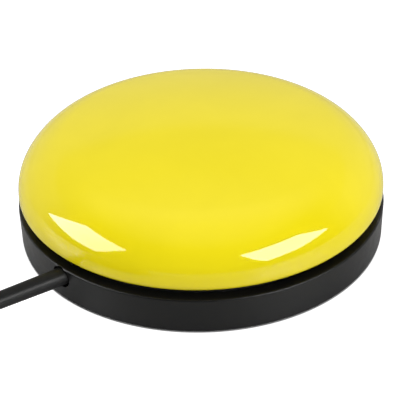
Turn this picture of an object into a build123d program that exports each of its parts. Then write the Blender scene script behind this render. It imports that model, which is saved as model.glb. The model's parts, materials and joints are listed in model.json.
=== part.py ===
"""Accessible push switch: a wide round cap that rocks and sinks on a low round base.

The cap floats on three springs, is held by three screws from below, and presses a small
snap switch in the middle of the base. A thin lead leaves the base wall and ends in a plug.
Millimetres. The origin is the middle of the resting face, +Z is up, the lead leaves at -X.
"""

import os
from math import cos, pi, radians, sin, tan

from build123d import *

os.makedirs("parts", exist_ok=True)

# ---- driving dimensions ----
cap_radius = 31.75            # 63.5 mm pressing surface
cap_wall = 2.0
cap_equator_z = 8.8           # widest level of the cap
rim_curl = 1.25               # small arc under the widest level
low_shoulder, high_shoulder = 7.0, 11.0
low_shoulder_end, high_shoulder_end = 30, 79          # degrees from the horizontal

base_radius, base_top_z, base_wall = 32.0, 6.3, 2.0
base_bottom_z = 0.15          # the wall stops short of the table
floor_low_z, floor_top_z = 0.9, 3.0
edge_round = 0.3
pad_radius = 28.4

press_travel = 0.8
lift_play = 0.3               # room above the washers, so that the cap can rock

guide_circle, guide_angle = 20.0, 0      # three posts, springs and screws
guide_boss_r, guide_top_z, guide_seat_z = 5.4, 5.5, 4.0
counterbore_r, guide_hole_r, post_r = 4.4, 2.55, 2.2
insert_circle, insert_angle = 15.5, 30   # three mounting inserts
insert_boss_r, insert_r, insert_bore_r, insert_top_z = 3.2, 2.1, 1.25, 5.0

flange_low_z, flange_top_z = 9.6, 11.0   # carrier plate
skirt_r, skirt_wall, skirt_low_z = 29.2, 1.2, 4.6
hub_r, hub_wall, hub_top_z = 10.0, 1.4, 12.4
nub_r, nub_low_z = 1.6, 10.5
outer_ring_r, inner_ring_r = 26.5, 11.3  # support rings inside the cap
outer_ring_wall, inner_ring_wall = 2.0, 1.3
ring_overlap = 1.6                       # how far the rings are let into the shell
hook_angle, hook_reach, hook_width, hook_high = 30, 1.8, 6.0, 1.05
window_reach, window_width, window_high = 4.0, 7.0, 1.25
notch_width, notch_top_z = 6.0, 8.0      # where the lead passes the skirt

case_x, case_low_z, case_top_z = 2.9, 3.6, 9.4
case_y_low, case_y_high, case_wall = -7.6, 5.2, 0.8
ear_length, ear_width, ear_top_z = 3.4, 4.2, 5.2
plunger_x, plunger_y, plunger_top_z, plunger_foot_z = 1.6, 2.6, 10.45, 7.5
nose_y, nose_high, collar_high = 0.6, 0.4, 0.6       # the nose bears on the blade
blade_hinge_y, blade_z, blade_thick, blade_end_y = -5.6, 7.35, 0.2, 3.7
terminal_thick, terminal_width, terminal_z, tail_x = 0.4, 1.6, 3.1, -5.4

cord_d = 2.6
exit_z, exit_heading = 4.35, 168         # the lead leaves a little off square to the wall
sleeve_length = 14.0
sleeve_r, sleeve_end_r, sleeve_flange_r = 1.52, 1.36, 2.2
flange_at, flange_thick = -1.7, 1.2      # the sleeve's flange behind the wall
flange_flat_z = 6.15                     # its top is flat, under the rim
hole_clearance, pocket_end, groove_end = 0.38, -6.0, -15.5
inner_end = -15.0                        # where the jacket stops inside
clamp_at, clamp_long, clamp_wide = -12.5, 4.0, 14.0
clamp_low_z, clamp_top_z, clamp_pitch = 4.5, 6.8, 4.9

# head radius, head height, shank radius, shank length
retaining_screw = (1.9, 1.0, 1.0, 5.2)
switch_screw = (1.7, 1.1, 0.8, 3.4)
clamp_screw = (1.6, 0.95, 0.8, 4.6)
slack = 0.02                             # between pieces that only just pass
washer_thick, washer_r, washer_hole_r = 0.5, 3.6, 1.15

coil_radius = 14.3                       # middle of the turns, 11 cord diameters across
coil_columns, coil_layers = 5, 4
coil_lift = 0.75                         # the tie passes under the turns
tie_thick, tie_width, tie_angle = 0.6, 5.0, 215
tie_slack = 0.5                          # the turns are curved inside the straight tie
plug_axis_z = 4.0
gap = 0.05

cord_r = cord_d / 2
out = Vector(cos(radians(exit_heading)), sin(radians(exit_heading)), 0)
side = Vector(-out.Y, out.X, 0)          # to the left of the lead as it leaves
wall_point = Vector(-base_radius, 0, exit_z)


def on_lead(t, z=exit_z, across=0.0):
    """A point t out from the wall along the lead, across to its left."""
    p = wall_point + out * t + side * across
    return Vector(p.X, p.Y, z)


def lead_plane(t):
    """A plane square to the lead, facing outwards."""
    return Plane(origin=on_lead(t), x_dir=side, z_dir=out)


def finish(part, name):
    part.label = name
    export_step(part, f"parts/{name}.step")


def bends(points):
    """The largest even arcs that the runs on each side of a corner allow."""
    radii = []
    for a, b, c in zip(points, points[1:], points[2:]):
        turn = (b - a).get_angle(c - b)
        shorter = min((b - a).length, (c - b).length)
        radii.append(0.45 * shorter / tan(radians(turn / 2)))
    return radii


def tube(points, radius, name):
    """A round cable along straight runs joined by tangent arcs."""
    radii = bends(points)
    with BuildPart() as cable:
        with BuildLine() as path:
            FilletPolyline(*points, radius=radii)
        with BuildSketch(Plane(origin=points[0], z_dir=points[1] - points[0])):
            Circle(radius)
        sweep(path=path.wire())
    length = path.wire().length
    print(name, "radii", [round(r, 1) for r in radii], "length", round(length, 1),
          "volume ratio", round(cable.part.volume / (length * pi * radius**2), 4))
    finish(cable.part, name)
    return length


def screw(x, y, under_head_z, head_r, head_high, shank_r, shank_long, up=True):
    """A pan-head screw with a cross recess, head below when it points up."""
    way = 1 if up else -1
    seat = Plane(origin=(x, y, under_head_z), z_dir=(0, 0, way))
    with BuildPart() as one:
        with BuildSketch(seat):
            Circle(head_r)
        extrude(amount=-head_high)
        crown = one.faces().sort_by(Axis.Z)[0 if up else -1]
        fillet(crown.edges(), head_high * 0.45)
        with BuildSketch(seat):
            Circle(shank_r)
        extrude(amount=shank_long)
        tip = one.faces().sort_by(Axis.Z)[-1 if up else 0]
        chamfer(tip.edges(), shank_r * 0.4)
        with BuildSketch(seat.offset(-head_high)):
            Rectangle(head_r * 1.1, head_r * 0.28)
            Rectangle(head_r * 0.28, head_r * 1.1)
        extrude(amount=head_high * 0.55, mode=Mode.SUBTRACT)
    return one.part


def polar(circle, start):
    return [(circle * cos(radians(start + 120 * i)), circle * sin(radians(start + 120 * i)))
            for i in range(3)]


# ---- cap outline ----
low_centre = (cap_radius - low_shoulder, cap_equator_z)
low_end = (low_centre[0] + low_shoulder * cos(radians(low_shoulder_end)),
           low_centre[1] + low_shoulder * sin(radians(low_shoulder_end)))
high_centre = (low_end[0] - high_shoulder * cos(radians(low_shoulder_end)),
               low_end[1] - high_shoulder * sin(radians(low_shoulder_end)))
reach = high_centre[0] / cos(radians(high_shoulder_end))
crown_z = high_centre[1] - reach * sin(radians(high_shoulder_end))
crown_top = crown_z + reach + high_shoulder


def shell_floor(radius):
    """The height of the shell's inside at a radius."""
    brow = high_shoulder - cap_wall
    if radius < high_centre[0]:
        return crown_z + ((reach + brow)**2 - radius**2)**0.5
    return high_centre[1] + (brow**2 - (radius - high_centre[0])**2)**0.5


# ---- base ----
with BuildPart() as base_housing:
    with BuildSketch(Plane.XZ) as base_section:
        with BuildLine():
            Polyline((0, floor_low_z), (pad_radius + 0.2, floor_low_z), (pad_radius + 0.2, base_bottom_z),
                     (base_radius, base_bottom_z), (base_radius, base_top_z),
                     (base_radius - base_wall, base_top_z), (base_radius - base_wall, floor_top_z),
                     (0, floor_top_z), close=True)
        make_face()
        outer_corners = base_section.vertices().group_by(Axis.X)[-1]
        fillet(outer_corners, edge_round)
    revolve(axis=Axis.Z)
    with BuildSketch(Plane.XY.offset(floor_low_z)):
        with Locations(*polar(guide_circle, guide_angle)):
            Circle(guide_boss_r)
        with Locations(*polar(insert_circle, insert_angle)):
            Circle(insert_boss_r)
    extrude(amount=guide_top_z - floor_low_z)
    with BuildSketch(Plane.XY.offset(floor_top_z)):
        with Locations((0, case_y_low - ear_length / 2), (0, case_y_high + ear_length / 2)):
            Circle(ear_length / 2 + 0.3)
    extrude(amount=case_low_z - floor_top_z)
    with BuildSketch(Plane(origin=on_lead(clamp_at, floor_top_z), x_dir=out, z_dir=(0, 0, 1))):
        Rectangle(clamp_long, clamp_wide)
    extrude(amount=exit_z - floor_top_z)
    with BuildSketch(Plane.XY.offset(floor_low_z)):
        with Locations(*polar(guide_circle, guide_angle)):
            Circle(counterbore_r)
    extrude(amount=guide_seat_z - floor_low_z, mode=Mode.SUBTRACT)
    with BuildSketch(Plane.XY.offset(floor_low_z)):
        with Locations(*polar(guide_circle, guide_angle)):
            Circle(guide_hole_r)
    extrude(amount=guide_top_z, mode=Mode.SUBTRACT)
    with BuildSketch(Plane.XY.offset(floor_low_z)):
        with Locations(*polar(insert_circle, insert_angle)):
            Circle(insert_r)
    extrude(amount=insert_top_z - floor_low_z, mode=Mode.SUBTRACT)
    with BuildSketch(Plane.XY.offset(case_low_z)):
        with Locations((0, case_y_low - ear_length / 2), (0, case_y_high + ear_length / 2)):
            Circle(switch_screw[2] + slack)
    extrude(amount=ear_top_z - case_low_z - switch_screw[3] - 0.2, mode=Mode.SUBTRACT)
    with BuildSketch(Plane(origin=on_lead(clamp_at, exit_z), x_dir=out, z_dir=(0, 0, 1))):
        with Locations((0, clamp_pitch), (0, -clamp_pitch)):
            Circle(clamp_screw[2] + slack)
    extrude(amount=clamp_top_z - exit_z - clamp_screw[3] - 0.4, mode=Mode.SUBTRACT)
    with BuildSketch(lead_plane(2)):
        Circle(sleeve_r + hole_clearance)
    extrude(amount=-6, mode=Mode.SUBTRACT)
    with BuildSketch(lead_plane(flange_at)):
        Circle(sleeve_flange_r + 0.1)
    extrude(amount=pocket_end - flange_at, mode=Mode.SUBTRACT)
    with BuildSketch(lead_plane(pocket_end)):
        Circle(cord_r + slack)
    extrude(amount=groove_end - pocket_end, mode=Mode.SUBTRACT)
finish(base_housing.part, "base_housing")

with BuildPart() as foot_pad:
    with BuildSketch():
        Circle(pad_radius)
        with Locations(*polar(insert_circle, insert_angle)):
            Circle(insert_r + 0.5, mode=Mode.SUBTRACT)
    extrude(amount=floor_low_z)
    chamfer(foot_pad.edges().group_by(Axis.Z)[0].sort_by(SortBy.LENGTH)[-1], 0.25)
finish(foot_pad.part, "foot_pad")

with BuildPart() as mounting_inserts:
    with BuildSketch(Plane.XY.offset(floor_low_z)):
        with Locations(*polar(insert_circle, insert_angle)):
            Circle(insert_r)
            Circle(insert_bore_r, mode=Mode.SUBTRACT)
    extrude(amount=insert_top_z - floor_low_z)
    with BuildSketch(Plane.XY.offset(2.6)):
        with Locations(*polar(insert_circle, insert_angle)):
            Circle(insert_r)
            Circle(insert_r - 0.3, mode=Mode.SUBTRACT)
    extrude(amount=0.7, mode=Mode.SUBTRACT)
finish(mounting_inserts.part, "mounting_inserts")

# ---- cap and its carrier ----
with BuildPart() as dome_cap:
    rim_middle = (cap_radius - rim_curl, cap_equator_z)
    rim_foot = (rim_middle[0], cap_equator_z - rim_curl)
    inner_foot = (cap_radius - cap_wall, cap_equator_z - rim_curl)
    with BuildSketch(Plane.XZ) as cap_section:
        with BuildLine():
            for inset in (0, cap_wall):
                low_r, high_r = low_shoulder - inset, high_shoulder - inset
                CenterArc(low_centre, low_r, 0, low_shoulder_end)
                CenterArc(high_centre, high_r, low_shoulder_end, high_shoulder_end - low_shoulder_end)
                CenterArc((0, crown_z), reach + high_r, high_shoulder_end, 90 - high_shoulder_end)
            Line((0, crown_top), (0, crown_top - cap_wall))
            CenterArc(rim_middle, rim_curl, -90, 90)
            Polyline(rim_foot, inner_foot, (cap_radius - cap_wall, cap_equator_z))
        make_face()
    revolve(axis=Axis.Z)
    with BuildSketch(Plane.XY.offset(flange_top_z)):
        Circle(outer_ring_r)
        Circle(outer_ring_r - outer_ring_wall, mode=Mode.SUBTRACT)
    extrude(amount=shell_floor(outer_ring_r) + ring_overlap - flange_top_z)
    with BuildSketch(Plane.XY.offset(hub_top_z)):
        Circle(inner_ring_r)
        Circle(inner_ring_r - inner_ring_wall, mode=Mode.SUBTRACT)
    extrude(amount=shell_floor(inner_ring_r) + ring_overlap / 2 - hub_top_z)
    with BuildSketch(Plane.XY.offset(flange_low_z - gap)):
        with PolarLocations(skirt_r - 0.2, 3, start_angle=hook_angle):
            Rectangle(hook_reach, hook_width)
    extrude(amount=-hook_high)
finish(dome_cap.part, "dome_cap")
print("cap top", round(crown_top, 2))

with BuildPart() as cap_carrier:
    with BuildSketch(Plane.XZ):
        with BuildLine():
            Polyline((0, hub_top_z), (hub_r + hub_wall, hub_top_z), (hub_r + hub_wall, flange_top_z),
                     (skirt_r - 0.6, flange_top_z), (skirt_r, flange_top_z - 0.6), (skirt_r, skirt_low_z),
                     (skirt_r - skirt_wall, skirt_low_z), (skirt_r - skirt_wall, flange_low_z),
                     (hub_r, flange_low_z), (hub_r, flange_top_z), (0, flange_top_z), close=True)
        make_face()
    revolve(axis=Axis.Z)
    with BuildSketch(Plane.XY.offset(flange_low_z)):
        with Locations(*polar(guide_circle, guide_angle)):
            Circle(post_r)
    extrude(amount=-(flange_low_z - guide_seat_z + lift_play))
    with BuildSketch(Plane.XY.offset(flange_top_z)):
        Circle(nub_r)
    extrude(amount=nub_low_z - flange_top_z)
    with BuildSketch(Plane.XY.offset(guide_seat_z - lift_play)):
        with Locations(*polar(guide_circle, guide_angle)):
            Circle(retaining_screw[2] + slack)
    extrude(amount=retaining_screw[3], mode=Mode.SUBTRACT)
    with BuildSketch(Plane.XY.offset(skirt_low_z)):
        with Locations((-skirt_r, on_lead(skirt_r - base_radius - skirt_wall / 2).Y)):
            Rectangle(4 * skirt_wall, notch_width)
    extrude(amount=notch_top_z - skirt_low_z, mode=Mode.SUBTRACT)
    with BuildSketch(Plane.XY.offset(flange_low_z)):
        with PolarLocations(skirt_r, 3, start_angle=hook_angle):
            Rectangle(window_reach, window_width)
    extrude(amount=-window_high, mode=Mode.SUBTRACT)
finish(cap_carrier.part, "cap_carrier")

washer_top_z = guide_seat_z - lift_play
with BuildPart() as retaining_washers:
    with BuildSketch(Plane.XY.offset(washer_top_z)):
        with Locations(*polar(guide_circle, guide_angle)):
            Circle(washer_r)
            Circle(washer_hole_r, mode=Mode.SUBTRACT)
    extrude(amount=-washer_thick)
finish(retaining_washers.part, "retaining_washers")

retaining = [screw(x, y, washer_top_z - washer_thick, *retaining_screw)
             for x, y in polar(guide_circle, guide_angle)]
finish(Compound(children=retaining), "retaining_screws")

# ---- return springs ----
spring_wire_r, spring_r, spring_turns = 0.25, 3.3, 4
spring_room = flange_low_z - guide_top_z - 2 * spring_wire_r - 2 * gap
springs = []
for x, y in polar(guide_circle, guide_angle):
    with BuildPart() as spring:
        with BuildLine() as wire:
            Helix(pitch=spring_room / spring_turns, height=spring_room, radius=spring_r,
                  center=(x, y, guide_top_z + spring_wire_r + gap))
        with BuildSketch(Plane(origin=wire.line @ 0, z_dir=wire.line % 0)):
            Circle(spring_wire_r)
        sweep(path=wire.wire(), is_frenet=True)
    springs.append(spring.part)
finish(Compound(children=springs), "return_springs")
print("spring volumes", [round(s.volume, 2) for s in springs])

# ---- snap switch ----
case_y_middle = (case_y_low + case_y_high) / 2
case_length, case_height = case_y_high - case_y_low, case_top_z - case_low_z
case_z_middle = (case_low_z + case_top_z) / 2
common_y, open_y, closed_y = -5.6, -0.5, 4.1
ear_ys = (case_y_low - ear_length / 2, case_y_high + ear_length / 2)

with BuildPart() as microswitch_case:
    with BuildSketch(Plane.YZ.offset(-case_x + case_wall)):
        with Locations((case_y_middle, case_z_middle)):
            Rectangle(case_length, case_height)
    extrude(amount=2 * case_x - case_wall)
    vertical = microswitch_case.edges().filter_by(Axis.Z).group_by(Axis.X)[-1]
    fillet(vertical, 0.3)
    with BuildSketch(Plane.XY.offset(case_low_z)):
        with Locations((0, case_y_middle)):
            Rectangle(ear_width, case_length + 2 * ear_length)
    extrude(amount=ear_top_z - case_low_z)
    with BuildSketch(Plane.YZ.offset(-case_x + case_wall)):
        with Locations((case_y_middle, case_z_middle)):
            Rectangle(case_length - 2 * case_wall, case_height - 2 * case_wall)
    extrude(amount=2 * case_x - 2 * case_wall, mode=Mode.SUBTRACT)
    with BuildSketch(Plane.XY.offset(case_top_z)):
        Rectangle(plunger_x + 0.14, plunger_y + 0.14)
    extrude(amount=-case_wall, mode=Mode.SUBTRACT)
    with BuildSketch(Plane.XY.offset(case_low_z)):
        with Locations((0, common_y), (0, open_y), (0, closed_y)):
            Rectangle(terminal_width + 0.02, terminal_thick + 0.02)
    extrude(amount=case_wall, mode=Mode.SUBTRACT)
    with BuildSketch(Plane.XY.offset(case_low_z)):
        with Locations((0, ear_ys[0]), (0, ear_ys[1])):
            Circle(switch_screw[2] + 0.2)
    extrude(amount=ear_top_z - case_low_z, mode=Mode.SUBTRACT)
finish(microswitch_case.part, "microswitch_case")

with BuildPart() as microswitch_cover:
    with BuildSketch(Plane.YZ.offset(-case_x)):
        with Locations((case_y_middle, case_z_middle)):
            Rectangle(case_length, case_height)
    extrude(amount=case_wall)
    chamfer(microswitch_cover.faces().sort_by(Axis.X)[0].edges(), 0.2)
finish(microswitch_cover.part, "microswitch_cover")

switch_screws = [screw(0, y, ear_top_z, *switch_screw, up=False) for y in ear_ys]
finish(Compound(children=switch_screws), "switch_screws")

with BuildPart() as switch_plunger:
    with BuildSketch(Plane.XY.offset(plunger_foot_z + nose_high)):
        Rectangle(plunger_x, plunger_y)
    extrude(amount=plunger_top_z - plunger_foot_z - nose_high)
    fillet(switch_plunger.faces().sort_by(Axis.Z)[-1].edges(), 0.35)
    with BuildSketch(Plane.XY.offset(plunger_foot_z + nose_high)):
        Rectangle(plunger_x + 1.0, plunger_y + 1.0)
    extrude(amount=collar_high)
    with BuildSketch(Plane.XY.offset(plunger_foot_z)):
        Rectangle(plunger_x, nose_y)
    extrude(amount=nose_high)
finish(switch_plunger.part, "switch_plunger")

contact_y, contact_r, contact_half = 3.0, 0.65, 0.3
blade_drop = press_travel / (0 - blade_hinge_y) * (contact_y - blade_hinge_y)
with BuildPart() as switch_blade:
    with BuildSketch(Plane.XY.offset(blade_z - blade_thick / 2)):
        with Locations((0, (blade_hinge_y + blade_end_y) / 2)):
            SlotOverall(blade_end_y - blade_hinge_y, 2.2, rotation=90)
    extrude(amount=blade_thick)
    with BuildSketch(Plane.XY.offset(blade_z - contact_half)):
        with Locations((0, contact_y)):
            Circle(contact_r)
    extrude(amount=2 * contact_half)
finish(switch_blade.part, "switch_blade")

terminals = (                            # name, leg, top, and where its contact is
    ("common_terminal", common_y, blade_z - blade_thick / 2 - 0.15, None),
    ("normally_open_terminal", open_y, blade_z - contact_half - blade_drop - 0.25, contact_y),
    ("normally_closed_terminal", closed_y, blade_z + contact_half + gap + terminal_thick, contact_y),
)
for name, leg_y, top_z, end_y in terminals:
    with BuildPart() as terminal:
        with BuildSketch(Plane.XY.offset(terminal_z)):
            with Locations((0, leg_y)):
                Rectangle(terminal_width, terminal_thick)
        extrude(amount=top_z - terminal_z)
        with BuildSketch(Plane.XY.offset(terminal_z)):
            with Locations(((tail_x + terminal_width / 2) / 2, leg_y)):
                Rectangle(terminal_width / 2 - tail_x, terminal_thick + 0.6)
        extrude(amount=terminal_thick)
        if end_y:
            with BuildSketch(Plane.XY.offset(top_z - terminal_thick)):
                with Locations((0, (leg_y + end_y) / 2)):
                    Rectangle(terminal_width, abs(end_y - leg_y) + terminal_thick)
                with Locations((0, end_y)):
                    Circle(0.8)
            extrude(amount=terminal_thick)
    finish(terminal.part, name)

# ---- lead inside the base ----
with BuildPart() as strain_relief:
    with BuildSketch(lead_plane(flange_at)):
        Circle(sleeve_flange_r)
    extrude(amount=-flange_thick)
    with Locations(on_lead(flange_at - flange_thick / 2, flange_flat_z)):
        Box(4 * flange_thick, 3 * sleeve_flange_r, sleeve_flange_r,
            align=(Align.CENTER, Align.CENTER, Align.MIN), mode=Mode.SUBTRACT)
    with BuildSketch(lead_plane(flange_at)):
        Circle(sleeve_r)
    extrude(amount=-flange_at)
    with BuildSketch(lead_plane(0)):
        Circle(sleeve_r)
    with BuildSketch(lead_plane(sleeve_length)):
        Circle(sleeve_end_r)
    loft()
finish(strain_relief.part, "strain_relief")

with BuildPart() as cord_inner:
    with BuildSketch(lead_plane(flange_at - flange_thick)):
        Circle(cord_r)
    extrude(amount=inner_end - flange_at + flange_thick)
finish(cord_inner.part, "cord_inner")

with BuildPart() as cord_clamp:
    with BuildSketch(Plane(origin=on_lead(clamp_at, clamp_low_z), x_dir=out, z_dir=(0, 0, 1))):
        Rectangle(clamp_long, clamp_wide)
    extrude(amount=clamp_top_z - clamp_low_z)
    fillet(cord_clamp.edges().filter_by(Axis.Z), 1.2)
    with BuildSketch(lead_plane(clamp_at - clamp_long)):
        Circle(cord_r + slack)
    extrude(amount=2 * clamp_long, mode=Mode.SUBTRACT)
    with BuildSketch(Plane(origin=on_lead(clamp_at, clamp_low_z), x_dir=out, z_dir=(0, 0, 1))):
        with Locations((0, clamp_pitch), (0, -clamp_pitch)):
            Circle(clamp_screw[2] + 0.15)
    extrude(amount=clamp_top_z - clamp_low_z, mode=Mode.SUBTRACT)
finish(cord_clamp.part, "cord_clamp")

clamp_screws = [screw(on_lead(clamp_at, 0, a).X, on_lead(clamp_at, 0, a).Y, clamp_top_z,
                      *clamp_screw, up=False) for a in (clamp_pitch, -clamp_pitch)]
finish(Compound(children=clamp_screws), "cord_clamp_screws")

wire_r = 0.45
wire_z = terminal_z + terminal_thick + wire_r
for name, across, end_y in (("lead_wire_common", 0.6, common_y), ("lead_wire_open", -0.6, open_y)):
    start = on_lead(inner_end - 4 * gap, exit_z, across)
    route = [start, start - out * 3 + side * across,
             Vector(-9.5, end_y, wire_z), Vector(tail_x + 1.2, end_y, wire_z)]
    tube(route, wire_r, name)

# ---- free lead, coiled for storage ----
turn_z = coil_lift + cord_r
outer_turn = coil_radius + (coil_columns - 1) / 2 * cord_d
coil_start = 32.0                        # out from the sleeve to where the winding begins
coil_touch = on_lead(sleeve_length + coil_start, turn_z)
coil_centre = coil_touch + side * outer_turn
lead_route = [on_lead(sleeve_length + 2 * gap), on_lead(sleeve_length + 9, 3.75, -0.3),
              on_lead(sleeve_length + 20, turn_z, 0.5), coil_touch]
lead_length = tube(lead_route, cord_r, "cord_lead")

coil_inner = coil_radius - coil_columns * cord_d / 2
coil_outer = coil_radius + coil_columns * cord_d / 2
coil_high = coil_layers * cord_d
with BuildPart() as cord_coil:
    with BuildSketch(Plane.XZ) as coil_section:
        with Locations((coil_radius, coil_lift + coil_high / 2)):
            RectangleRounded(coil_outer - coil_inner, coil_high, cord_r * 0.9)
    revolve(axis=Axis.Z)
finish(cord_coil.part.moved(Location((coil_centre.X, coil_centre.Y, 0))), "cord_coil")

with BuildPart() as coil_tie:
    with BuildSketch(Plane.XZ.offset(-tie_width / 2)):
        with Locations((coil_radius - tie_slack / 2, coil_lift + coil_high / 2)):
            RectangleRounded(coil_outer - coil_inner + tie_slack + 2 * tie_thick,
                             coil_high + 2 * tie_thick + 0.1, cord_r)
            Rectangle(coil_outer - coil_inner + tie_slack, coil_high + 0.1, mode=Mode.SUBTRACT)
    extrude(amount=tie_width)
tie_place = Location((coil_centre.X, coil_centre.Y, 0), (0, 0, tie_angle))
finish(coil_tie.part.moved(tie_place), "coil_tie")


def by_coil(angle, radius, z):
    """A point at an angle and a distance from the coil's centre."""
    return Vector(coil_centre.X + radius * cos(radians(angle)),
                  coil_centre.Y + radius * sin(radians(angle)), z)


top_turn_z = turn_z + (coil_layers - 1) * cord_d
tail_route = [by_coil(15, outer_turn, top_turn_z), by_coil(38, 21.2, 8.6),
              by_coil(62, 25.0, 5.6), by_coil(84, 28.0, plug_axis_z), by_coil(103, 30.6, plug_axis_z)]
tail_length = tube(tail_route, cord_r, "cord_tail")

# ---- plug ----
plug_way = (tail_route[-1] - tail_route[-2]).normalized()


def plug_plane(t):
    return Plane(origin=tail_route[-1] + plug_way * t, x_dir=(0, 0, 1), z_dir=plug_way)


def plug_piece(name, outline):
    """A turned piece along the plug, from (distance, radius) points."""
    first, last = outline[0][0], outline[-1][0]
    turned = Plane(origin=tail_route[-1], x_dir=plug_way, z_dir=plug_way.cross(Vector(0, 0, 1)))
    with BuildPart() as piece:
        with BuildSketch(turned):
            with BuildLine():
                Polyline((first, 0), *outline, (last, 0), close=True)
            make_face()
        revolve(axis=Axis(tail_route[-1], plug_way))
    finish(piece.part, name)


plug_piece("plug_boot", [(0, 1.5), (1, 1.7), (10, 2.4), (12, 2.6)])
plug_piece("plug_handle", [(12, 3.3), (13, 3.9), (27, 3.9), (29, 3.5), (29.5, 3.0)])
plug_piece("plug_sleeve", [(29.5, 2.6), (30.7, 2.6), (30.7, 1.75), (38.5, 1.75)])
plug_piece("plug_insulator", [(38.5, 1.6), (39.3, 1.6)])
plug_piece("plug_tip", [(39.3, 1.7), (41, 1.75), (41.6, 1.25), (43, 1.7), (44.6, 0.7)])

print("coil centre", [round(v, 3) for v in coil_centre], "outer turn", outer_turn)
turn_length = 2 * pi * coil_radius * coil_columns * coil_layers
print("lead", round(lead_length), "coil", round(turn_length), "tail", round(tail_length),
      "total", round(lead_length + turn_length + tail_length + sleeve_length))
print("blade swing per press, rad per m", round(1000 / (0 - blade_hinge_y), 3))
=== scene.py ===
import json
from math import atan2, cos, degrees, pi, radians, sin

import bpy
from mathutils import Matrix, Vector


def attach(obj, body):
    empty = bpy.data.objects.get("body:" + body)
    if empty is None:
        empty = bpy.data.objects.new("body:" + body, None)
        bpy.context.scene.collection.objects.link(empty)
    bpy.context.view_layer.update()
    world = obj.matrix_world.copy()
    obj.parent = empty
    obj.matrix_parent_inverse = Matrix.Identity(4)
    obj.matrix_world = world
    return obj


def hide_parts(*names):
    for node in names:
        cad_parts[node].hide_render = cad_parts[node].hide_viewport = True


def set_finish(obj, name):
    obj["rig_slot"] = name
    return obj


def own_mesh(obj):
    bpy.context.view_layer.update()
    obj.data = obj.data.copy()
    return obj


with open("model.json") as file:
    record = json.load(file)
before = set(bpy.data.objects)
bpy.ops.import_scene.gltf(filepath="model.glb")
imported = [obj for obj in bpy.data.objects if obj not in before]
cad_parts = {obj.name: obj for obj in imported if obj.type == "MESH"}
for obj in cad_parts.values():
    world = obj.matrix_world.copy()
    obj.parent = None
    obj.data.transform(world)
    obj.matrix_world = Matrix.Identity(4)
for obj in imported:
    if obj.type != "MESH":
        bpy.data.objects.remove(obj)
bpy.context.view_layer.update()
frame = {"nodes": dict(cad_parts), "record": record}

mm = 0.001
nodes = frame["nodes"]
print("frame loaded:", len(nodes), "nodes")


# camera: aimed at the cap, turned so that the lead leaves to the lower left
cameraLook = {"azimuth": -44.5, "elevation": 32.281, "distance": 193.6, "aimHeight": 8.0,
              "lens": 99.0, "sensor": 36.0, "pitch": -1.062, "yaw": 0.062, "roll": -1.311}


def makeCamera(look):
    turn = radians(look["azimuth"])
    tilt = radians(look["elevation"])
    back = look["distance"] * mm
    place = Vector((sin(turn) * cos(tilt) * back, -cos(turn) * cos(tilt) * back,
                    look["aimHeight"] * mm + sin(tilt) * back))
    pose = Matrix.Rotation(turn, 4, "Z") @ Matrix.Rotation(pi / 2 - tilt, 4, "X")
    pose = pose @ Matrix.Rotation(radians(look["yaw"]), 4, "Y")
    pose = pose @ Matrix.Rotation(radians(look["pitch"]), 4, "X")
    pose = pose @ Matrix.Rotation(radians(look["roll"]), 4, "Z")
    data = bpy.data.cameras.new("camera")
    data.lens = look["lens"]
    data.sensor_width = look["sensor"]
    data.clip_start = 0.01
    camera = bpy.data.objects.new("camera", data)
    camera.matrix_world = Matrix.Translation(place) @ pose
    bpy.context.scene.collection.objects.link(camera)
    bpy.context.scene.camera = camera


makeCamera(cameraLook)
print("camera set")


# the free lead: out of its sleeve, down to the table, wound into a coil, and on to the plug
lead = {"radius": 1.3, "exitRadius": 32.0, "exitHeight": 4.35, "heading": 168.0, "sleeve": 14.0,
        "tuckedIn": 4.0, "coilStart": 32.0, "coilRadius": 14.3, "columns": 5, "layers": 4,
        "lift": 0.75, "pointsPerTurn": 16, "jogPoints": 2, "jogBulge": 0.37, "tailAngle": 15.0,
        "intoBoot": 3.0}
leadOut = Vector((cos(radians(lead["heading"])), sin(radians(lead["heading"])), 0))
leadSide = Vector((-leadOut.y, leadOut.x, 0))
leadExit = Vector((-lead["exitRadius"], 0, lead["exitHeight"]))
cordWidth = 2 * lead["radius"]
turnHeight = lead["lift"] + lead["radius"]
outerTurn = lead["coilRadius"] + (lead["columns"] - 1) / 2 * cordWidth


def onLead(along, height=lead["exitHeight"], across=0.0):
    place = leadExit + leadOut * along + leadSide * across
    return Vector((place.x, place.y, height))


coilTouch = onLead(lead["sleeve"] + lead["coilStart"], turnHeight)
coilCentre = coilTouch + leadSide * outerTurn


def byCoil(angle, radius, height):
    return Vector((coilCentre.x + radius * cos(radians(angle)),
                   coilCentre.y + radius * sin(radians(angle)), height))


leadRoute = [onLead(lead["sleeve"] - lead["tuckedIn"]), onLead(lead["sleeve"]),
             onLead(lead["sleeve"] + 9, 3.75, -0.3), onLead(lead["sleeve"] + 20, turnHeight, 0.5)]
tailRoute = [byCoil(38, 21.2, 8.6), byCoil(62, 25.0, 5.6), byCoil(84, 28.0, 4.0), byCoil(103, 30.6, 4.0)]
plugOut = (tailRoute[-1] - tailRoute[-2]).normalized()
plugFoot = tailRoute[-1]


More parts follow.
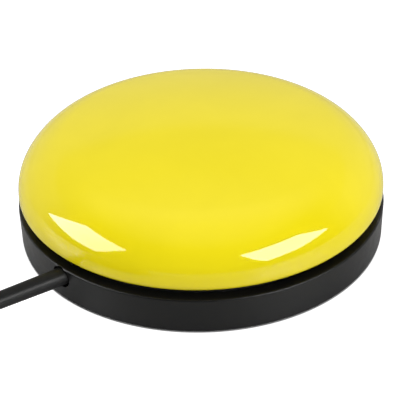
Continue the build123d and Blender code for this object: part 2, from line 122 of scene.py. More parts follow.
def coilPoints():
    # full turns side by side in layers, each stepping to its neighbour in one short jog
    touchAngle = degrees(atan2(-leadSide.y, -leadSide.x))
    perTurn = lead["pointsPerTurn"]
    total = (lead["columns"] * lead["layers"] - 1) * perTurn
    total += round((lead["tailAngle"] - touchAngle) % 360 / 360 * perTurn)
    swell = 1 / (0.75 + 0.25 * cos(2 * pi / perTurn))  # the spline runs a little inside its points

    def turnPlace(turn):
        layer, column = divmod(turn, lead["columns"])
        inward = column if layer % 2 == 0 else lead["columns"] - 1 - column
        return outerTurn - inward * cordWidth, turnHeight + layer * cordWidth

    points = []
    for step in range(total + 1):
        turn, part = divmod(step, perTurn)
        radius, height = turnPlace(turn)
        jog = (part - (perTurn - lead["jogPoints"])) / lead["jogPoints"]
        if jog > 0:
            nextRadius, nextHeight = turnPlace(turn + 1)
            if nextHeight > height:
                away = -1 if radius < lead["coilRadius"] else 1
                radius += away * lead["jogBulge"] * cordWidth * sin(pi * jog)
                nextRadius = radius
            radius += (nextRadius - radius) * jog
            height += (nextHeight - height) * jog
        points.append(byCoil(touchAngle + 360 * step / perTurn, radius * swell, height))
    return points


def makeLead():
    route = leadRoute + coilPoints() + tailRoute + [plugFoot + plugOut * lead["intoBoot"]]
    curve = bpy.data.curves.new("leadCord", "CURVE")
    curve.dimensions = "3D"
    curve.resolution_u = 5
    curve.bevel_depth = 1  # times each point's radius
    curve.bevel_resolution = 5
    curve.use_fill_caps = True
    line = curve.splines.new("NURBS")
    line.points.add(len(route) - 1)
    for point, place in zip(line.points, route):
        point.co = (*(place * mm), 1)
        point.radius = lead["radius"] * mm
    line.order_u = 3
    line.use_endpoint_u = True
    line.use_smooth = True
    cord = bpy.data.objects.new("leadCord", curve)
    bpy.context.scene.collection.objects.link(cord)
    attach(cord, "base")
    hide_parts("cord_lead", "cord_coil", "cord_tail")
    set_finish(cord, "cord_black")
    return cord


leadCord = makeLead()
print("lead laid:", len(leadCord.data.splines[0].points), "points")


# shared ways of modelling
def clearSelection():
    if bpy.context.object and bpy.context.object.mode != "OBJECT":
        bpy.ops.object.mode_set(mode="OBJECT")
    bpy.ops.object.select_all(action="DESELECT")


def arcPoints(centre, radius, start, end, count):
    return [(centre[0] + radius * cos(radians(start + (end - start) * i / count)),
             centre[1] + radius * sin(radians(start + (end - start) * i / count)))
            for i in range(count + 1)]


def drawOutline(outline):
    # one vertex, drawn out from point to point in the XZ plane
    clearSelection()
    bpy.ops.mesh.primitive_plane_add(size=mm)
    bpy.ops.object.mode_set(mode="EDIT")
    bpy.ops.mesh.merge(type="CENTER")
    bpy.ops.transform.translate(value=(outline[0][0] * mm, 0, outline[0][1] * mm))
    for here, there in zip(outline, outline[1:]):
        step = ((there[0] - here[0]) * mm, 0, (there[1] - here[1]) * mm)
        bpy.ops.mesh.extrude_region_move(TRANSFORM_OT_translate={"value": step})


def turnedPiece(name, outline, steps=96, sharp=35):
    # outline of (radius, height) points in millimetres, spun about the Z axis
    drawOutline(outline)
    bpy.ops.mesh.select_all(action="SELECT")
    bpy.ops.mesh.spin(steps=steps, angle=2 * pi, center=(0, 0, 0), axis=(0, 0, 1))
    bpy.ops.mesh.select_all(action="SELECT")
    bpy.ops.mesh.remove_doubles(threshold=0.002 * mm)
    bpy.ops.mesh.delete_loose()
    bpy.ops.mesh.normals_make_consistent(inside=False)
    bpy.ops.object.mode_set(mode="OBJECT")
    piece = bpy.context.object
    piece.name = name
    piece.data.name = name
    bpy.ops.object.shade_smooth_by_angle(angle=radians(sharp))
    return piece


def applyModifiers(piece):
    clearSelection()
    piece.select_set(True)
    bpy.context.view_layer.objects.active = piece
    for modifier in list(piece.modifiers):
        bpy.ops.object.modifier_apply(modifier=modifier.name)


def layAlong(piece, foot, direction):
    # a piece turned about Z is laid along a direction, with its foot at a point in millimetres
    clearSelection()
    piece.select_set(True)
    bpy.context.view_layer.objects.active = piece
    turn = direction.to_track_quat("Z", "Y").to_matrix().to_4x4()
    piece.matrix_world = Matrix.Translation(foot * mm) @ turn
    bpy.ops.object.transform_apply(location=True, rotation=True, scale=True)


def finishPiece(piece, body, replaced, slot):
    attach(piece, body)
    if replaced:
        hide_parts(*replaced)
    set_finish(piece, slot)


# cap: a thin shell with two support rings inside, its rim curled under
cap = {"radius": 31.75, "wall": 2.0, "equator": 8.8, "curl": 1.25, "low": 7.0, "high": 11.0,
       "lowEnd": 30.0, "highEnd": 79.0, "plateTop": 11.0, "hubTop": 12.4,
       "outerRing": (26.5, 24.5), "innerRing": (11.3, 10.0), "steps": 288}


def capArcs(inset):
    # shoulder, brow and crown arcs from the widest level to the top
    lowCentre = (cap["radius"] - cap["low"], cap["equator"])
    lowEnd = arcPoints(lowCentre, cap["low"], cap["lowEnd"], cap["lowEnd"], 1)[0]
    highCentre = (lowEnd[0] - cap["high"] * cos(radians(cap["lowEnd"])),
                  lowEnd[1] - cap["high"] * sin(radians(cap["lowEnd"])))
    reach = highCentre[0] / cos(radians(cap["highEnd"]))
    crownCentre = (0, highCentre[1] - reach * sin(radians(cap["highEnd"])))
    crown = reach + cap["high"]
    return (lowCentre, cap["low"] - inset), (highCentre, cap["high"] - inset), (crownCentre, crown - inset)


def capHeight(radius, inset):
    low, high, crown = capArcs(inset)
    centre, size = crown if radius < high[0][0] + high[1] * cos(radians(cap["highEnd"])) else high
    return centre[1] + (size ** 2 - (radius - centre[0]) ** 2) ** 0.5


def capOutline():
    low, high, crown = capArcs(0)
    outline = arcPoints((cap["radius"] - cap["curl"], cap["equator"]), cap["curl"], -90, 0, 10)
    outline += arcPoints(*low, 0, cap["lowEnd"], 12)[1:]
    outline += arcPoints(*high, cap["lowEnd"], cap["highEnd"], 22)[1:]
    outline += arcPoints(*crown, cap["highEnd"], 90, 16)[1:]
    inside = [(0, capHeight(0, cap["wall"]))]
    for ring, foot in ((cap["innerRing"], cap["hubTop"]), (cap["outerRing"], cap["plateTop"])):
        for radius in reversed(ring):
            top = (radius, capHeight(radius, cap["wall"]))
            inside += [top, (radius, foot)] if radius == ring[1] else [(radius, foot), top]
    low, high, crown = capArcs(cap["wall"])
    beyondRings = cap["outerRing"][0] + 0.3
    inside += [point for point in reversed(arcPoints(*high, cap["lowEnd"], cap["highEnd"], 12))
               if point[0] > beyondRings]
    inside += list(reversed(arcPoints(*low, 0, cap["lowEnd"], 6)))[1:]
    foot = (cap["radius"] - cap["wall"], cap["equator"] - cap["curl"])
    inside += [(foot[0], foot[1] + 0.15), (foot[0] + 0.15, foot[1])]
    return outline + inside + [outline[0]]


capShell = turnedPiece("capShell", capOutline(), steps=cap["steps"])
finishPiece(capShell, "cap", ["dome_cap"], "cap_yellow")


# snap hooks under the cap, which catch in the carrier's windows
hook = {"angle": 30.0, "radius": 28.95, "reach": 1.75, "width": 6.0, "low": 8.5, "high": 9.55,
        "bevel": 0.25}


def makeCapHooks():
    hooks = []
    for i in range(3):
        turn = radians(hook["angle"] + 120 * i)
        middle = (hook["low"] + hook["high"]) / 2
        place = Vector((hook["radius"] * cos(turn), hook["radius"] * sin(turn), middle))
        clearSelection()
        bpy.ops.mesh.primitive_cube_add(size=1, location=place * mm, rotation=(0, 0, turn))
        piece = bpy.context.object
        piece.scale = (hook["reach"] * mm, hook["width"] * mm, (hook["high"] - hook["low"]) * mm)
        bpy.ops.object.transform_apply(location=True, rotation=True, scale=True)
        bpy.ops.object.mode_set(mode="EDIT")
        bpy.ops.mesh.select_all(action="SELECT")
        bpy.ops.mesh.bevel(offset=hook["bevel"] * mm, segments=3)
        bpy.ops.object.mode_set(mode="OBJECT")
        hooks.append(piece)
    clearSelection()
    for piece in hooks:
        piece.select_set(True)
    bpy.context.view_layer.objects.active = hooks[0]
    bpy.ops.object.join()
    hooks[0].name = "capHooks"
    bpy.ops.object.shade_smooth_by_angle(angle=radians(35))
    finishPiece(hooks[0], "cap", [], "cap_yellow")
    return hooks[0]


capHooks = makeCapHooks()
print("cap made")


# return springs, with closed ends, round the three posts. They stop a little short of the carrier,
# because it rocks and a spring here can only shorten
spring = {"circle": 20.0, "radius": 3.3, "wire": 0.25, "low": 5.52, "high": 9.36, "turns": 4.0,
          "closed": 0.9, "perTurn": 20, "travel": 0.8}


def springHeight(turn, total):
    # flat end turns, even pitch between them
    low, high = spring["low"] + spring["wire"], spring["high"] - spring["wire"]
    flat = 2 * spring["wire"] / (high - low)
    ends = spring["closed"]
    if turn < ends:
        share = flat * turn / ends
    elif turn > total - ends:
        share = 1 - flat * (total - turn) / ends
    else:
        share = flat + (1 - 2 * flat) * (turn - ends) / (total - 2 * ends)
    return low + (high - low) * share


def makeSprings():
    total = spring["turns"] + 2 * spring["closed"]
    steps = round(total * spring["perTurn"])
    made = []
    for i in range(3):
        postAngle = radians(120 * i)
        middle = Vector((spring["circle"] * cos(postAngle), spring["circle"] * sin(postAngle), 0))
        curve = bpy.data.curves.new("coilSprings", "CURVE")
        curve.dimensions = "3D"
        curve.resolution_u = 3
        curve.bevel_depth = spring["wire"] * mm
        curve.bevel_resolution = 3
        curve.use_fill_caps = True
        line = curve.splines.new("NURBS")
        line.points.add(steps)
        for step, point in enumerate(line.points):
            turn = step / spring["perTurn"]
            place = middle + Vector((spring["radius"] * cos(2 * pi * turn),
                                     spring["radius"] * sin(2 * pi * turn), springHeight(turn, total)))
            point.co = (*(place * mm), 1)
        line.order_u = 3
        line.use_endpoint_u = True
        wire = bpy.data.objects.new("coilSprings", curve)
        bpy.context.scene.collection.objects.link(wire)
        made.append(wire)
    clearSelection()
    for wire in made:
        wire.select_set(True)
    bpy.context.view_layer.objects.active = made[0]
    bpy.ops.object.convert(target="MESH")
    bpy.ops.object.join()
    springs = bpy.context.object
    bpy.ops.object.shade_smooth()
    finishPiece(springs, "base", ["return_springs"], "spring_steel")
    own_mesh(springs)
    return springs


coilSprings = makeSprings()
print("springs made")


# strain relief: a soft taper moulded on the lead, with a flange inside the wall that is flat under the rim
sleeve = {"flange": 2.2, "flangeFrom": -2.9, "flangeTo": -1.7, "flatTop": 6.15,
          "wallRadius": 1.52, "endRadius": 1.36}


def makeSleeve():
    length = lead["sleeve"]
    outline = [(0, sleeve["flangeFrom"]), (sleeve["flange"] - 0.2, sleeve["flangeFrom"]),
               (sleeve["flange"], sleeve["flangeFrom"] + 0.2), (sleeve["flange"], sleeve["flangeTo"] - 0.2),
               (sleeve["flange"] - 0.2, sleeve["flangeTo"]), (sleeve["wallRadius"] + 0.1, sleeve["flangeTo"]),
               (sleeve["wallRadius"], sleeve["flangeTo"] + 0.1)]
    rows = 14
    for i in range(1, rows):
        share = i / rows
        outline.append((sleeve["wallRadius"] + (sleeve["endRadius"] - sleeve["wallRadius"]) * share,
                        sleeve["flangeTo"] + (length - 0.1 - sleeve["flangeTo"]) * share))
    outline += [(sleeve["endRadius"], length - 0.1), (sleeve["endRadius"] - 0.05, length), (0, length)]
    piece = turnedPiece("leadSleeve", outline, steps=48)
    layAlong(piece, leadExit, leadOut)
    bpy.ops.object.mode_set(mode="EDIT")
    bpy.ops.mesh.select_all(action="SELECT")
    bpy.ops.mesh.bisect(plane_co=(0, 0, sleeve["flatTop"] * mm), plane_no=(0, 0, 1), use_fill=True,
                        clear_outer=True, threshold=0.000001)
    bpy.ops.object.mode_set(mode="OBJECT")
    finishPiece(piece, "base", ["strain_relief"], "cord_black")
    return piece


leadSleeve = makeSleeve()


# plug: boot with flex rings, ribbed handle, and the nickel contact pin
plug = {"boot": 1.5, "bootEnd": 2.6, "bootLength": 12.0, "rings": 5, "handle": 3.9, "handleEnd": 29.5,
        "ribs": 9, "ribPitch": 1.1, "ribStart": 3.0}


def bootOutline():
    outline = [(0, 0), (plug["boot"], 0), (plug["boot"] + 0.12, 0.15)]
    first, last = 2.0, plug["bootLength"] - 1.2
    pitch = (last - first) / plug["rings"]
    for i in range(plug["rings"]):
        start = first + i * pitch
        for share, groove in ((0.0, 0.0), (0.12, 0.06), (0.2, 0.3), (0.42, 0.3), (0.5, 0.06), (0.62, 0.0)):
            along = start + pitch * share
            radius = plug["boot"] + (plug["bootEnd"] - plug["boot"]) * along / plug["bootLength"] - groove
            outline.append((radius, along))
    return outline + [(plug["bootEnd"], plug["bootLength"] - 0.3), (plug["bootEnd"], plug["bootLength"]),
                      (0, plug["bootLength"])]


def handleOutline():
    start, end, radius = plug["bootLength"], plug["handleEnd"], plug["handle"]
    outline = [(0, start), (3.2, start), (3.6, start + 0.25), (radius - 0.12, start + 1.0),
               (radius, start + 1.5)]
    first = start + plug["ribStart"]
    for i in range(plug["ribs"]):
        for share, groove in ((0.0, 0.0), (0.2, 0.22), (0.5, 0.22), (0.7, 0.0)):
            outline.append((radius - groove, first + plug["ribPitch"] * (i + share)))
    return outline + [(radius, end - 1.6), (radius - 0.3, end - 0.5), (radius - 0.9, end), (0, end)]


def makePlug():
    outlines = {
        "plugBoot": (bootOutline(), "plug_boot", "cord_black"),
        "plugHandle": (handleOutline(), "plug_handle", "cord_black"),
        "plugSleeve": ([(0, 29.5), (2.45, 29.5), (2.6, 29.65), (2.6, 30.5), (2.45, 30.7), (1.75, 30.7),
                        (1.75, 38.4), (1.65, 38.5), (0, 38.5)], "plug_sleeve", "plug_metal"),
        "plugInsulator": ([(0, 38.5), (1.6, 38.5), (1.66, 38.6), (1.66, 39.2), (1.6, 39.3), (0, 39.3)],
                          "plug_insulator", "insulator_black"),
        "plugTip": ([(0, 39.3), (1.6, 39.3), (1.72, 39.45), (1.75, 40.6), (1.66, 41.05), (1.38, 41.4),
                     (1.26, 41.7), (1.34, 42.05), (1.62, 42.6), (1.73, 43.05), (1.66, 43.5), (1.3, 44.05),
                     (0.75, 44.48), (0.35, 44.6), (0, 44.6)], "plug_tip", "plug_metal"),
    }
    made = []
    for name, (outline, node, slot) in outlines.items():
        piece = turnedPiece(name, outline, steps=64)
        layAlong(piece, plugFoot, plugOut)
        finishPiece(piece, "base", [node], slot)
        made.append(piece)
    return made


plugPieces = makePlug()
print("plug made")


# tie: a hook and loop strap once round the turns, its end lapped over itself
tie = {"angle": 215.0, "width": 5.0, "rows": 6, "thick": 0.5, "slack": 0.25, "round": 1.6, "lap": 7.0,
       "lapStep": 0.04, "edge": 0.12}


def strapPath():
    # a rounded rectangle round the section of the coil, walked a little more than once
    half = lead["columns"] * cordWidth / 2 + tie["slack"]
    low, high = lead["lift"] - 0.02, lead["lift"] + lead["layers"] * cordWidth + 0.05
    middle, curve = lead["coilRadius"] - tie["slack"], tie["round"]
    left, right = middle - half + curve, middle + half - curve
    corners = [((left, high - curve), 90, 180), ((left, low + curve), 180, 270),
               ((right, low + curve), 270, 360), ((right, high - curve), 0, 90)]
    path = [(middle + 1.0, high)]
    for centre, start, end in corners:
        path += arcPoints(centre, curve, start, end, 6)
    path.append((middle + 3.0, high + 0.1))
    path.append((middle + 2.0, high + tie["thick"]))
    path.append((middle + 1.0, high + tie["thick"] + tie["lapStep"]))
    path.append((middle + 3.0 - tie["lap"], high + tie["thick"] + tie["lapStep"]))
    return path


def makeTie():
    drawOutline(strapPath())
    bpy.ops.mesh.select_all(action="SELECT")
    step = (0, tie["width"] / tie["rows"] * mm, 0)
    for _ in range(tie["rows"]):
        bpy.ops.mesh.extrude_region_move(TRANSFORM_OT_translate={"value": step})
    bpy.ops.object.mode_set(mode="OBJECT")
    strap = bpy.context.object
    strap.name = "coilStrap"
    strap.location = (0, -tie["width"] / 2 * mm, 0)
    bpy.ops.object.transform_apply(location=True, rotation=False, scale=False)
    bpy.ops.object.mode_set(mode="EDIT")
    bpy.ops.mesh.select_all(action="SELECT")
    bpy.ops.mesh.remove_doubles(threshold=0.002 * mm)
    bpy.ops.mesh.normals_make_consistent(inside=False)
    bpy.ops.object.mode_set(mode="OBJECT")
    lowest = min(strap.data.polygons, key=lambda face: face.center.z)
    if lowest.normal.z > 0:  # the open strip was made consistent, but inside out
        bpy.ops.object.mode_set(mode="EDIT")
        bpy.ops.mesh.select_all(action="SELECT")
        bpy.ops.mesh.flip_normals()
        bpy.ops.object.mode_set(mode="OBJECT")
    skin = strap.modifiers.new("skin", "SOLIDIFY")
    skin.thickness = tie["thick"] * mm
    skin.offset = 1
    edge = strap.modifiers.new("edge", "BEVEL")
    edge.width = tie["edge"] * mm
    edge.segments = 2
    edge.limit_method = "ANGLE"
    edge.angle_limit = radians(50)
    applyModifiers(strap)
    strap.matrix_world = (Matrix.Translation((coilCentre.x * mm, coilCentre.y * mm, 0))
                          @ Matrix.Rotation(radians(tie["angle"]), 4, "Z"))
    bpy.ops.object.transform_apply(location=True, rotation=True, scale=True)
    bpy.ops.object.shade_smooth_by_angle(angle=radians(40))
    finishPiece(strap, "base", ["coil_tie"], "tie_fabric")
    return strap


coilStrap = makeTie()
print("tie made")


# materials: every one reads Object coordinates, in metres
def startMaterial(name, settings):
    material = bpy.data.materials.new(name)
    material.use_nodes = True
    tree = material.node_tree
    shader = tree.nodes["Principled BSDF"]
    for socket, value in settings.items():
        shader.inputs[socket].default_value = value
    coordinates = tree.nodes.new("ShaderNodeTexCoord")
    return material, tree, shader, coordinates.outputs["Object"]


def addNoise(tree, place, scale, detail=4.0, rough=0.55, distortion=0.0):
    noise = tree.nodes.new("ShaderNodeTexNoise")
    noise.inputs["Scale"].default_value = scale
    noise.inputs["Detail"].default_value = detail
    noise.inputs["Roughness"].default_value = rough
    noise.inputs["Distortion"].default_value = distortion
    tree.links.new(place, noise.inputs["Vector"])
    return noise.outputs["Fac"]


def addRange(tree, value, low, high, fromLow=0.3, fromHigh=0.7):
    ranged = tree.nodes.new("ShaderNodeMapRange")
    ranged.inputs["From Min"].default_value = fromLow
    ranged.inputs["From Max"].default_value = fromHigh
    ranged.inputs["To Min"].default_value = low
    ranged.inputs["To Max"].default_value = high
    tree.links.new(value, ranged.inputs["Value"])
    return ranged.outputs["Result"]


def addColours(tree, value, first, second):
    ramp = tree.nodes.new("ShaderNodeValToRGB")
    ramp.color_ramp.elements[0].position = 0.3
    ramp.color_ramp.elements[1].position = 0.7
    ramp.color_ramp.elements[0].color = (*first, 1)
    ramp.color_ramp.elements[1].color = (*second, 1)
    tree.links.new(value, ramp.inputs["Fac"])
    return ramp.outputs["Color"]


def addBump(tree, shader, height, strength, distance, under=None):
    bump = tree.nodes.new("ShaderNodeBump")
    bump.inputs["Strength"].default_value = strength
    bump.inputs["Distance"].default_value = distance
    tree.links.new(height, bump.inputs["Height"])
    if under:
        tree.links.new(under, bump.inputs["Normal"])
    tree.links.new(bump.outputs["Normal"], shader.inputs["Normal"])
    return bump.outputs["Normal"]


glossyCap = {"first": (0.86, 0.715, 0.0075), "second": (0.90, 0.75, 0.0095), "gloss": (0.035, 0.065)}


def glossyCapMaterial():
    # polished moulded shell: faint flow marks, slight orange peel, fine wiping marks in the gloss
    material, tree, shader, place = startMaterial("capYellow", {"IOR": 1.5, "Specular IOR Level": 0.5})
    flow = addNoise(tree, place, 55, detail=3, distortion=0.6)
    shell = addColours(tree, flow, glossyCap["first"], glossyCap["second"])
    tree.links.new(shell, shader.inputs["Base Color"])
    wipe = addNoise(tree, place, 420, detail=6, rough=0.65, distortion=1.2)
    tree.links.new(addRange(tree, wipe, *glossyCap["gloss"]), shader.inputs["Roughness"])
    peel = addBump(tree, shader, addNoise(tree, place, 260, detail=2), 0.10, 0.00002)
    addBump(tree, shader, addNoise(tree, place, 2600, detail=2), 0.05, 0.000004, under=peel)
    return material


def texturedPlastic(name, first, second, gloss, grain, depth, specular=0.5):
    # spark-eroded mould texture: even grain, small changes of gloss, a little dust in the grain
    material, tree, shader, place = startMaterial(name, {"IOR": 1.5, "Specular IOR Level": specular})
    blotch = addNoise(tree, place, 140, detail=5, rough=0.6)
    tree.links.new(addColours(tree, blotch, first, second), shader.inputs["Base Color"])
    tree.links.new(addRange(tree, addNoise(tree, place, 900, detail=4), *gloss), shader.inputs["Roughness"])
    coarse = addBump(tree, shader, addNoise(tree, place, grain, detail=3), 0.35, depth)
    addBump(tree, shader, addNoise(tree, place, grain * 2.7, detail=2), 0.2, depth * 0.5, under=coarse)
    return material


def rubberMaterial(name, shade, speckle):
    # soft foam rubber: open pores and pale speckles of dust
    material, tree, shader, place = startMaterial(name, {"IOR": 1.45, "Specular IOR Level": 0.3})
    dust = addNoise(tree, place, 1500, detail=3, rough=0.7)
    tree.links.new(addColours(tree, dust, shade, speckle), shader.inputs["Base Color"])
    tree.links.new(addRange(tree, dust, 0.75, 0.92), shader.inputs["Roughness"])
    pores = tree.nodes.new("ShaderNodeTexVoronoi")
    pores.inputs["Scale"].default_value = 2200
    tree.links.new(place, pores.inputs["Vector"])
    addBump(tree, shader, pores.outputs["Distance"], 0.5, 0.00006)
    return material


def metalMaterial(name, first, second, gloss, streak=(900, 900, 60), depth=0.000004):
    # drawn or turned metal: fine streaks, long where the streak scale is low, and dull spots of handling
    material, tree, shader, place = startMaterial(name, {"Metallic": 1.0})
    mapping = tree.nodes.new("ShaderNodeMapping")
    mapping.inputs["Scale"].default_value = streak
    tree.links.new(place, mapping.inputs["Vector"])
    lines = addNoise(tree, mapping.outputs["Vector"], 4.0, detail=4, rough=0.6)
    spots = addNoise(tree, place, 600, detail=4, rough=0.6)
    tree.links.new(addColours(tree, spots, first, second), shader.inputs["Base Color"])
    tree.links.new(addRange(tree, lines, *gloss), shader.inputs["Roughness"])
    addBump(tree, shader, lines, 0.3, depth)
    return material


def cordMaterial():
    # satin vinyl sheath: slight waviness from the wires inside, finger marks in the sheen
    material, tree, shader, place = startMaterial("cordVinyl", {"IOR": 1.5, "Specular IOR Level": 0.32})
    blotch = addNoise(tree, place, 260, detail=4)
    sheath = addColours(tree, blotch, (0.003, 0.003, 0.003), (0.006, 0.006, 0.0056))
    tree.links.new(sheath, shader.inputs["Base Color"])
    marks = addNoise(tree, place, 700, detail=5)
    tree.links.new(addRange(tree, marks, 0.40, 0.50), shader.inputs["Roughness"])
    wavy = addBump(tree, shader, addNoise(tree, place, 330, detail=2), 0.25, 0.00003)
    addBump(tree, shader, addNoise(tree, place, 5200, detail=2), 0.15, 0.000006, under=wavy)
    return material


def strapMaterial():
    # hook and loop tape: a dense pile of small loops
    material, tree, shader, place = startMaterial("strapPile", {"Specular IOR Level": 0.2})
    loops = tree.nodes.new("ShaderNodeTexVoronoi")
    loops.inputs["Scale"].default_value = 2600
    tree.links.new(place, loops.inputs["Vector"])
    fuzz = addNoise(tree, place, 1800, detail=6, rough=0.7, distortion=1.5)
    pileColour = addColours(tree, fuzz, (0.012, 0.012, 0.014), (0.05, 0.05, 0.055))
    tree.links.new(pileColour, shader.inputs["Base Color"])
    tree.links.new(addRange(tree, fuzz, 0.8, 0.97), shader.inputs["Roughness"])
    pile = addBump(tree, shader, loops.outputs["Distance"], 0.7, 0.00012)
    addBump(tree, shader, fuzz, 0.5, 0.00006, under=pile)
    return material


finishes = {
    "cap_yellow": glossyCapMaterial(),
    "housing_black": texturedPlastic("housingBlack", (0.0045, 0.0045, 0.0045), (0.0070, 0.0070, 0.0068),
                                     (0.30, 0.38), 5200, 0.000014, specular=0.3),
    "carrier_black": texturedPlastic("carrierBlack", (0.006, 0.006, 0.006), (0.009, 0.009, 0.009),
                                     (0.5, 0.62), 4200, 0.00002),
    "pad_rubber": rubberMaterial("padRubber", (0.018, 0.018, 0.019), (0.05, 0.05, 0.05)),
    "insert_brass": metalMaterial("insertBrass", (0.72, 0.50, 0.20), (0.80, 0.60, 0.28), (0.22, 0.36)),
    "screw_steel": metalMaterial("screwZinc", (0.55, 0.56, 0.58), (0.68, 0.68, 0.66), (0.28, 0.42)),
    "spring_steel": metalMaterial("springWire", (0.60, 0.60, 0.61), (0.72, 0.72, 0.72), (0.16, 0.28)),
    "switch_plastic": texturedPlastic("switchPlastic", (0.018, 0.018, 0.02), (0.026, 0.026, 0.028),
                                      (0.45, 0.55), 3800, 0.00001),
    "plunger_red": texturedPlastic("plungerRed", (0.42, 0.02, 0.015), (0.50, 0.03, 0.02),
                                   (0.30, 0.40), 4500, 0.000006),
    "contact_metal": metalMaterial("contactSilver", (0.74, 0.71, 0.64), (0.84, 0.82, 0.76), (0.18, 0.30)),
    "cord_black": cordMaterial(),
    "wire_white": texturedPlastic("wireWhite", (0.60, 0.60, 0.57), (0.70, 0.70, 0.67),
                                  (0.35, 0.45), 3000, 0.000006),
    "wire_red": texturedPlastic("wireRed", (0.45, 0.02, 0.015), (0.55, 0.03, 0.025),
                                (0.35, 0.45), 3000, 0.000006),
    "tie_fabric": strapMaterial(),
    "plug_metal": metalMaterial("plugNickel", (0.66, 0.65, 0.62), (0.76, 0.75, 0.72), (0.12, 0.22),
                                streak=(1400, 1400, 1400), depth=0.000002),
    "insulator_black": texturedPlastic("insulatorBlack", (0.008, 0.008, 0.008), (0.012, 0.012, 0.012),
                                       (0.2, 0.3), 3600, 0.000004),
}


def paint():
    slotOf = {part["node"]: part["material_slot"] for part in frame["record"]["subparts"]}
    for name, node in nodes.items():
        node.data.materials.clear()
        node.data.materials.append(finishes[slotOf[name]])
    for piece in (leadCord, capShell, capHooks, coilSprings, leadSleeve, coilStrap, *plugPieces):
        piece.data.materials.clear()
        piece.data.materials.append(finishes[piece["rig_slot"]])


paint()
print("materials made:", len(finishes))


# studio: a wide soft light overhead, two soft boxes low at the front, a pale sweep behind, a white table
studio = {"turn": -44.5, "distance": 0.6, "floorSize": 8.0, "floorShade": 0.60, "floorGloss": 0.32,
          "floorGlow": 0.9, "glowFrom": (31.9, 32.1),
          "overheadHeight": 0.7, "overheadSize": 0.8, "overheadRadiance": 1.34}
sweep = {"back": 45.5, "shade": 0.52, "wall": 0.34, "top": 31.0, "blur": 0.03,
         "front": 0.03, "zenith": 0.5, "zenithFrom": 45.0}
# corners as (azimuth, elevation) round the panel, radiance at its two ends, then the light in its place
softBoxes = {
    "leftBox": {"corners": ((-192, 12), (-152, 10), (-136, 29.5), (-171, 35)), "radiance": (11.0, 7.8),
                "fill": 5.9, "width": 42.0, "height": 21.0},
    "rightBox": {"corners": ((-55, 12), (-11, 18.5), (-27, 33.5), (-68, 32)), "radiance": (10.8, 9.8),
                 "fill": 6.8, "width": 50.0, "height": 21.0},
}


def direction(azimuth, elevation):
    # seen from the object, in degrees, counted from the camera's right-hand side
    turn, tilt = radians(azimuth + studio["turn"]), radians(elevation)
    return Vector((cos(turn) * cos(tilt), sin(turn) * cos(tilt), sin(tilt))) * studio["distance"]


def makeLight(name, place, width, height, radiance):
    data = bpy.data.lights.new(name, "AREA")
    data.shape = "ELLIPSE"
    data.size = width
    data.size_y = height
    data.energy = radiance * pi * (pi / 4 * width * height)  # the bracket is the ellipse's area
    light = bpy.data.objects.new(name, data)
    light.location = place
    light.rotation_euler = place.to_track_quat("Z", "Y").to_euler()
    light.visible_camera = False
    light.visible_glossy = False
    bpy.context.scene.collection.objects.link(light)
    return light


def panelMaterial(name, radiance):
    # one end of a soft box is a little brighter than the other
    material = bpy.data.materials.new(name)
    material.use_nodes = True
    tree = material.node_tree
    tree.nodes.clear()
    spot = tree.nodes.new("ShaderNodeTexCoord")
    parts = tree.nodes.new("ShaderNodeSeparateXYZ")
    tree.links.new(spot.outputs["UV"], parts.inputs["Vector"])
    glow = tree.nodes.new("ShaderNodeEmission")
    tree.links.new(addRange(tree, parts.outputs["X"], *radiance, 0, 1), glow.inputs["Strength"])
    output = tree.nodes.new("ShaderNodeOutputMaterial")
    tree.links.new(glow.outputs["Emission"], output.inputs["Surface"])
    return material


def makeSoftBox(name, box):
    # the panel is seen only in reflections, and an area light in its place gives only even brightness
    clearSelection()
    bpy.ops.mesh.primitive_plane_add(size=1)
    panel = bpy.context.object
    panel.name = panel.data.name = name
    places = [direction(*corner) for corner in box["corners"]]
    for vertex, corner in zip(panel.data.vertices, (0, 1, 3, 2)):  # a plane's points aren't in ring order
        vertex.co = places[corner]
    panel.data.materials.append(panelMaterial(name + "Glow", box["radiance"]))
    panel.visible_camera = panel.visible_diffuse = panel.visible_shadow = False
    middle = sum(places, Vector()) / len(places)
    across, up = (2 * studio["distance"] * sin(radians(box[side] / 2)) for side in ("width", "height"))
    makeLight(name + "Fill", middle, across, up, box["fill"])


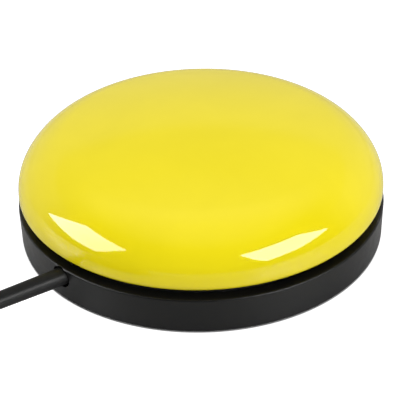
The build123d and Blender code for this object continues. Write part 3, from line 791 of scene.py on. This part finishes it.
def makeWorld():
    world = bpy.data.worlds.new("sweep")
    world.use_nodes = True
    tree = world.node_tree
    coordinates = tree.nodes.new("ShaderNodeTexCoord")
    parts = tree.nodes.new("ShaderNodeSeparateXYZ")
    tree.links.new(coordinates.outputs["Generated"], parts.inputs["Vector"])
    facing = tree.nodes.new("ShaderNodeVectorMath")
    facing.operation = "DOT_PRODUCT"
    facing.inputs[1].default_value = (cos(radians(sweep["back"])), sin(radians(sweep["back"])), 0)
    tree.links.new(coordinates.outputs["Generated"], facing.inputs[0])

    def combine(operation, first, second):
        node = tree.nodes.new("ShaderNodeMath")
        node.operation = operation
        tree.links.new(first, node.inputs[0])
        tree.links.new(second, node.inputs[1])
        return node.outputs["Value"]

    edge, high = sin(radians(sweep["top"])), sin(radians(sweep["zenithFrom"]))
    paper = addRange(tree, parts.outputs["Z"], sweep["shade"], sweep["wall"],
                     edge - sweep["blur"], edge + sweep["blur"])
    behind = addRange(tree, facing.outputs["Value"], 0, 1, -0.1, 0.35)
    ceiling = addRange(tree, parts.outputs["Z"], sweep["front"], sweep["zenith"], high, 0.98)
    shade = combine("ADD", combine("MULTIPLY", paper, behind), ceiling)
    tree.links.new(shade, tree.nodes["Background"].inputs["Color"])
    bpy.context.scene.world = world


def makeFloor():
    clearSelection()
    bpy.ops.mesh.primitive_plane_add(size=studio["floorSize"])
    floor = bpy.context.object
    floor.name = "table"
    material, tree, shader, place = startMaterial("tableWhite", {
        "Base Color": (*[studio["floorShade"]] * 3, 1), "Roughness": studio["floorGloss"],
        "Emission Color": (1, 1, 1, 1)})
    addBump(tree, shader, addNoise(tree, place, 300, detail=3), 0.05, 0.0001)
    # a white glow for the camera only, which lights nothing and stops at the foot of the base
    middle = tree.nodes.new("ShaderNodeVectorMath")
    middle.operation = "LENGTH"
    tree.links.new(place, middle.inputs[0])
    start, full = (radius * mm for radius in studio["glowFrom"])
    glow = addRange(tree, middle.outputs["Value"], 0, studio["floorGlow"], start, full)
    rays = tree.nodes.new("ShaderNodeLightPath")
    seen = tree.nodes.new("ShaderNodeMath")
    seen.operation = "MULTIPLY"
    tree.links.new(glow, seen.inputs[0])
    tree.links.new(rays.outputs["Is Camera Ray"], seen.inputs[1])
    tree.links.new(seen.outputs["Value"], shader.inputs["Emission Strength"])
    floor.data.materials.append(material)


for boxName, softBox in softBoxes.items():
    makeSoftBox(boxName, softBox)
makeLight("overhead", Vector((0, 0, studio["overheadHeight"])), studio["overheadSize"],
          studio["overheadSize"], studio["overheadRadiance"])
makeWorld()
makeFloor()
bpy.context.scene.view_settings.view_transform = "Standard"
print("studio set")
